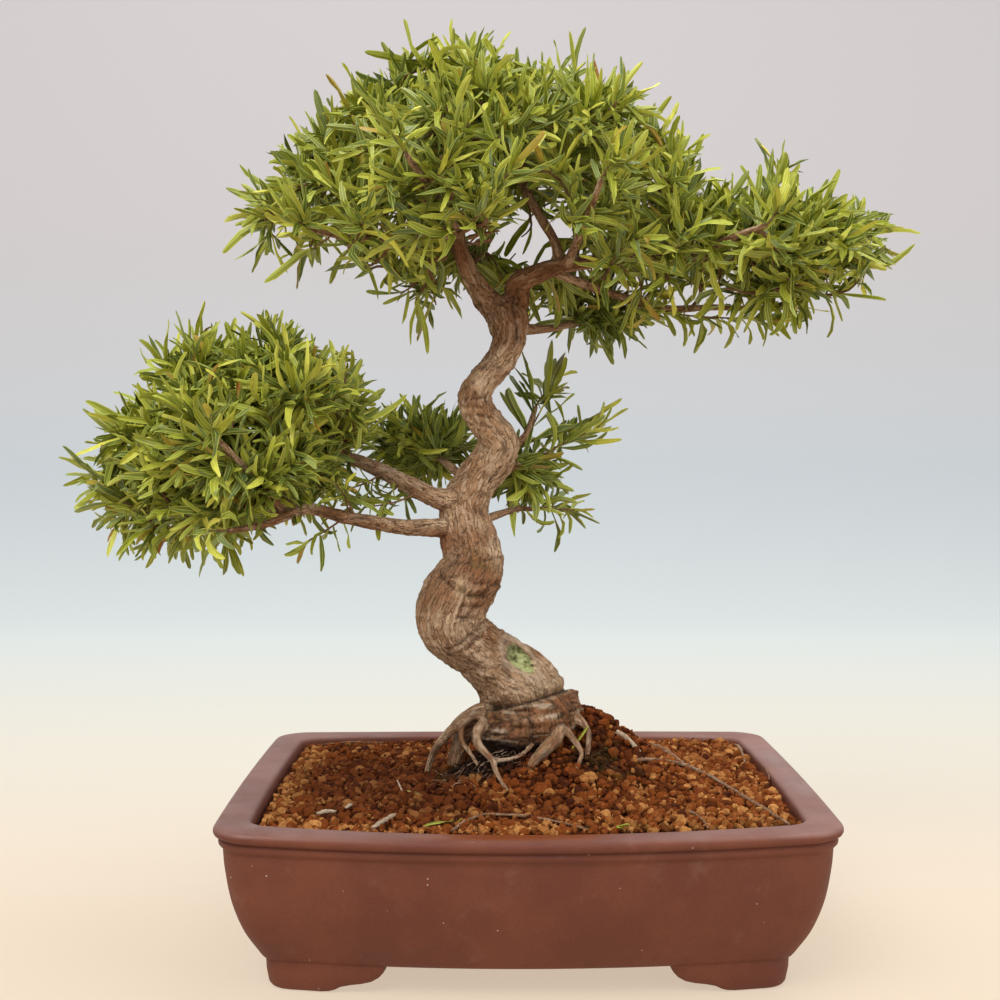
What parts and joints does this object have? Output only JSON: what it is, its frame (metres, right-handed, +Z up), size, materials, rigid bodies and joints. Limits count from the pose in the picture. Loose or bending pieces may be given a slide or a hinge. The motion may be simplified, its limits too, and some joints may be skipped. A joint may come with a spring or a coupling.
{
  "type": "willow leaf fig bonsai",
  "caption": "Potted miniature tree with a twisting trunk, surface roots, branches and leafy shoots, in a low rectangular stoneware pot on bracket feet.",
  "frame": {"origin": "middle of the whole object's box, on the plane that the pot's feet stand on", "axes": "+Z up, +X to the right and +Y to the back as seen from the tree's front"},
  "size_m": [0.5078, 0.2978, 0.5285],
  "materials": {
    "stoneware": "unglazed matt reddish-brown stoneware",
    "soil_grains": "loose baked-clay granules, moist and dull",
    "bark": "rough tan-grey bark with long fissures",
    "foliage": "thin waxy leaves, yellow-green",
    "mesh_plastic": "black plastic mesh"
  },
  "bodies": {
    "root": {"drain_screen_left": "mesh_plastic", "drain_screen_right": "mesh_plastic", "pot": "stoneware", "shoot_back_high": "foliage", "shoot_back_left": "foliage", "shoot_back_low": "foliage", "shoot_back_mid": "foliage", "shoot_back_upper": "foliage", "shoot_crown_01": "foliage", "shoot_crown_02": "foliage", "shoot_crown_03": "foliage", "shoot_crown_04": "foliage", "shoot_crown_05": "foliage", "shoot_crown_06": "foliage", "shoot_crown_07": "foliage", "shoot_crown_08": "foliage", "shoot_crown_09": "foliage", "shoot_crown_10": "foliage", "shoot_crown_11": "foliage", "shoot_crown_12": "foliage", "shoot_crown_back": "foliage", "shoot_crown_far_right": "foliage", "shoot_crown_front": "foliage", "shoot_crown_left": "foliage", "shoot_crown_left_back": "foliage", "shoot_crown_left_far": "foliage", "shoot_crown_left_front": "foliage", "shoot_crown_left_low": "foliage", "shoot_crown_middle": "foliage", "shoot_crown_right": "foliage", "shoot_crown_riser": "foliage", "shoot_crown_riser_back": "foliage", "shoot_crown_riser_right": "foliage", "shoot_left_01": "foliage", "shoot_left_02": "foliage", "shoot_left_03": "foliage", "shoot_left_04": "foliage", "shoot_left_05": "foliage", "shoot_left_06": "foliage", "shoot_left_07": "foliage", "shoot_left_high": "foliage", "shoot_left_high_back": "foliage", "shoot_left_high_front": "foliage", "shoot_left_high_mid": "foliage", "shoot_left_high_tip": "foliage", "shoot_left_high_top": "foliage", "shoot_left_low": "foliage", "shoot_left_low_back": "foliage", "shoot_left_low_front": "foliage", "shoot_left_low_up": "foliage", "shoot_right_01": "foliage", "shoot_right_02": "foliage", "shoot_right_03": "foliage", "shoot_right_back": "foliage", "shoot_right_front": "foliage", "shoot_right_low": "foliage", "shoot_right_up": "foliage", "soil": "soil_grains", "tree": "bark"}
  },
  "joints": []
}
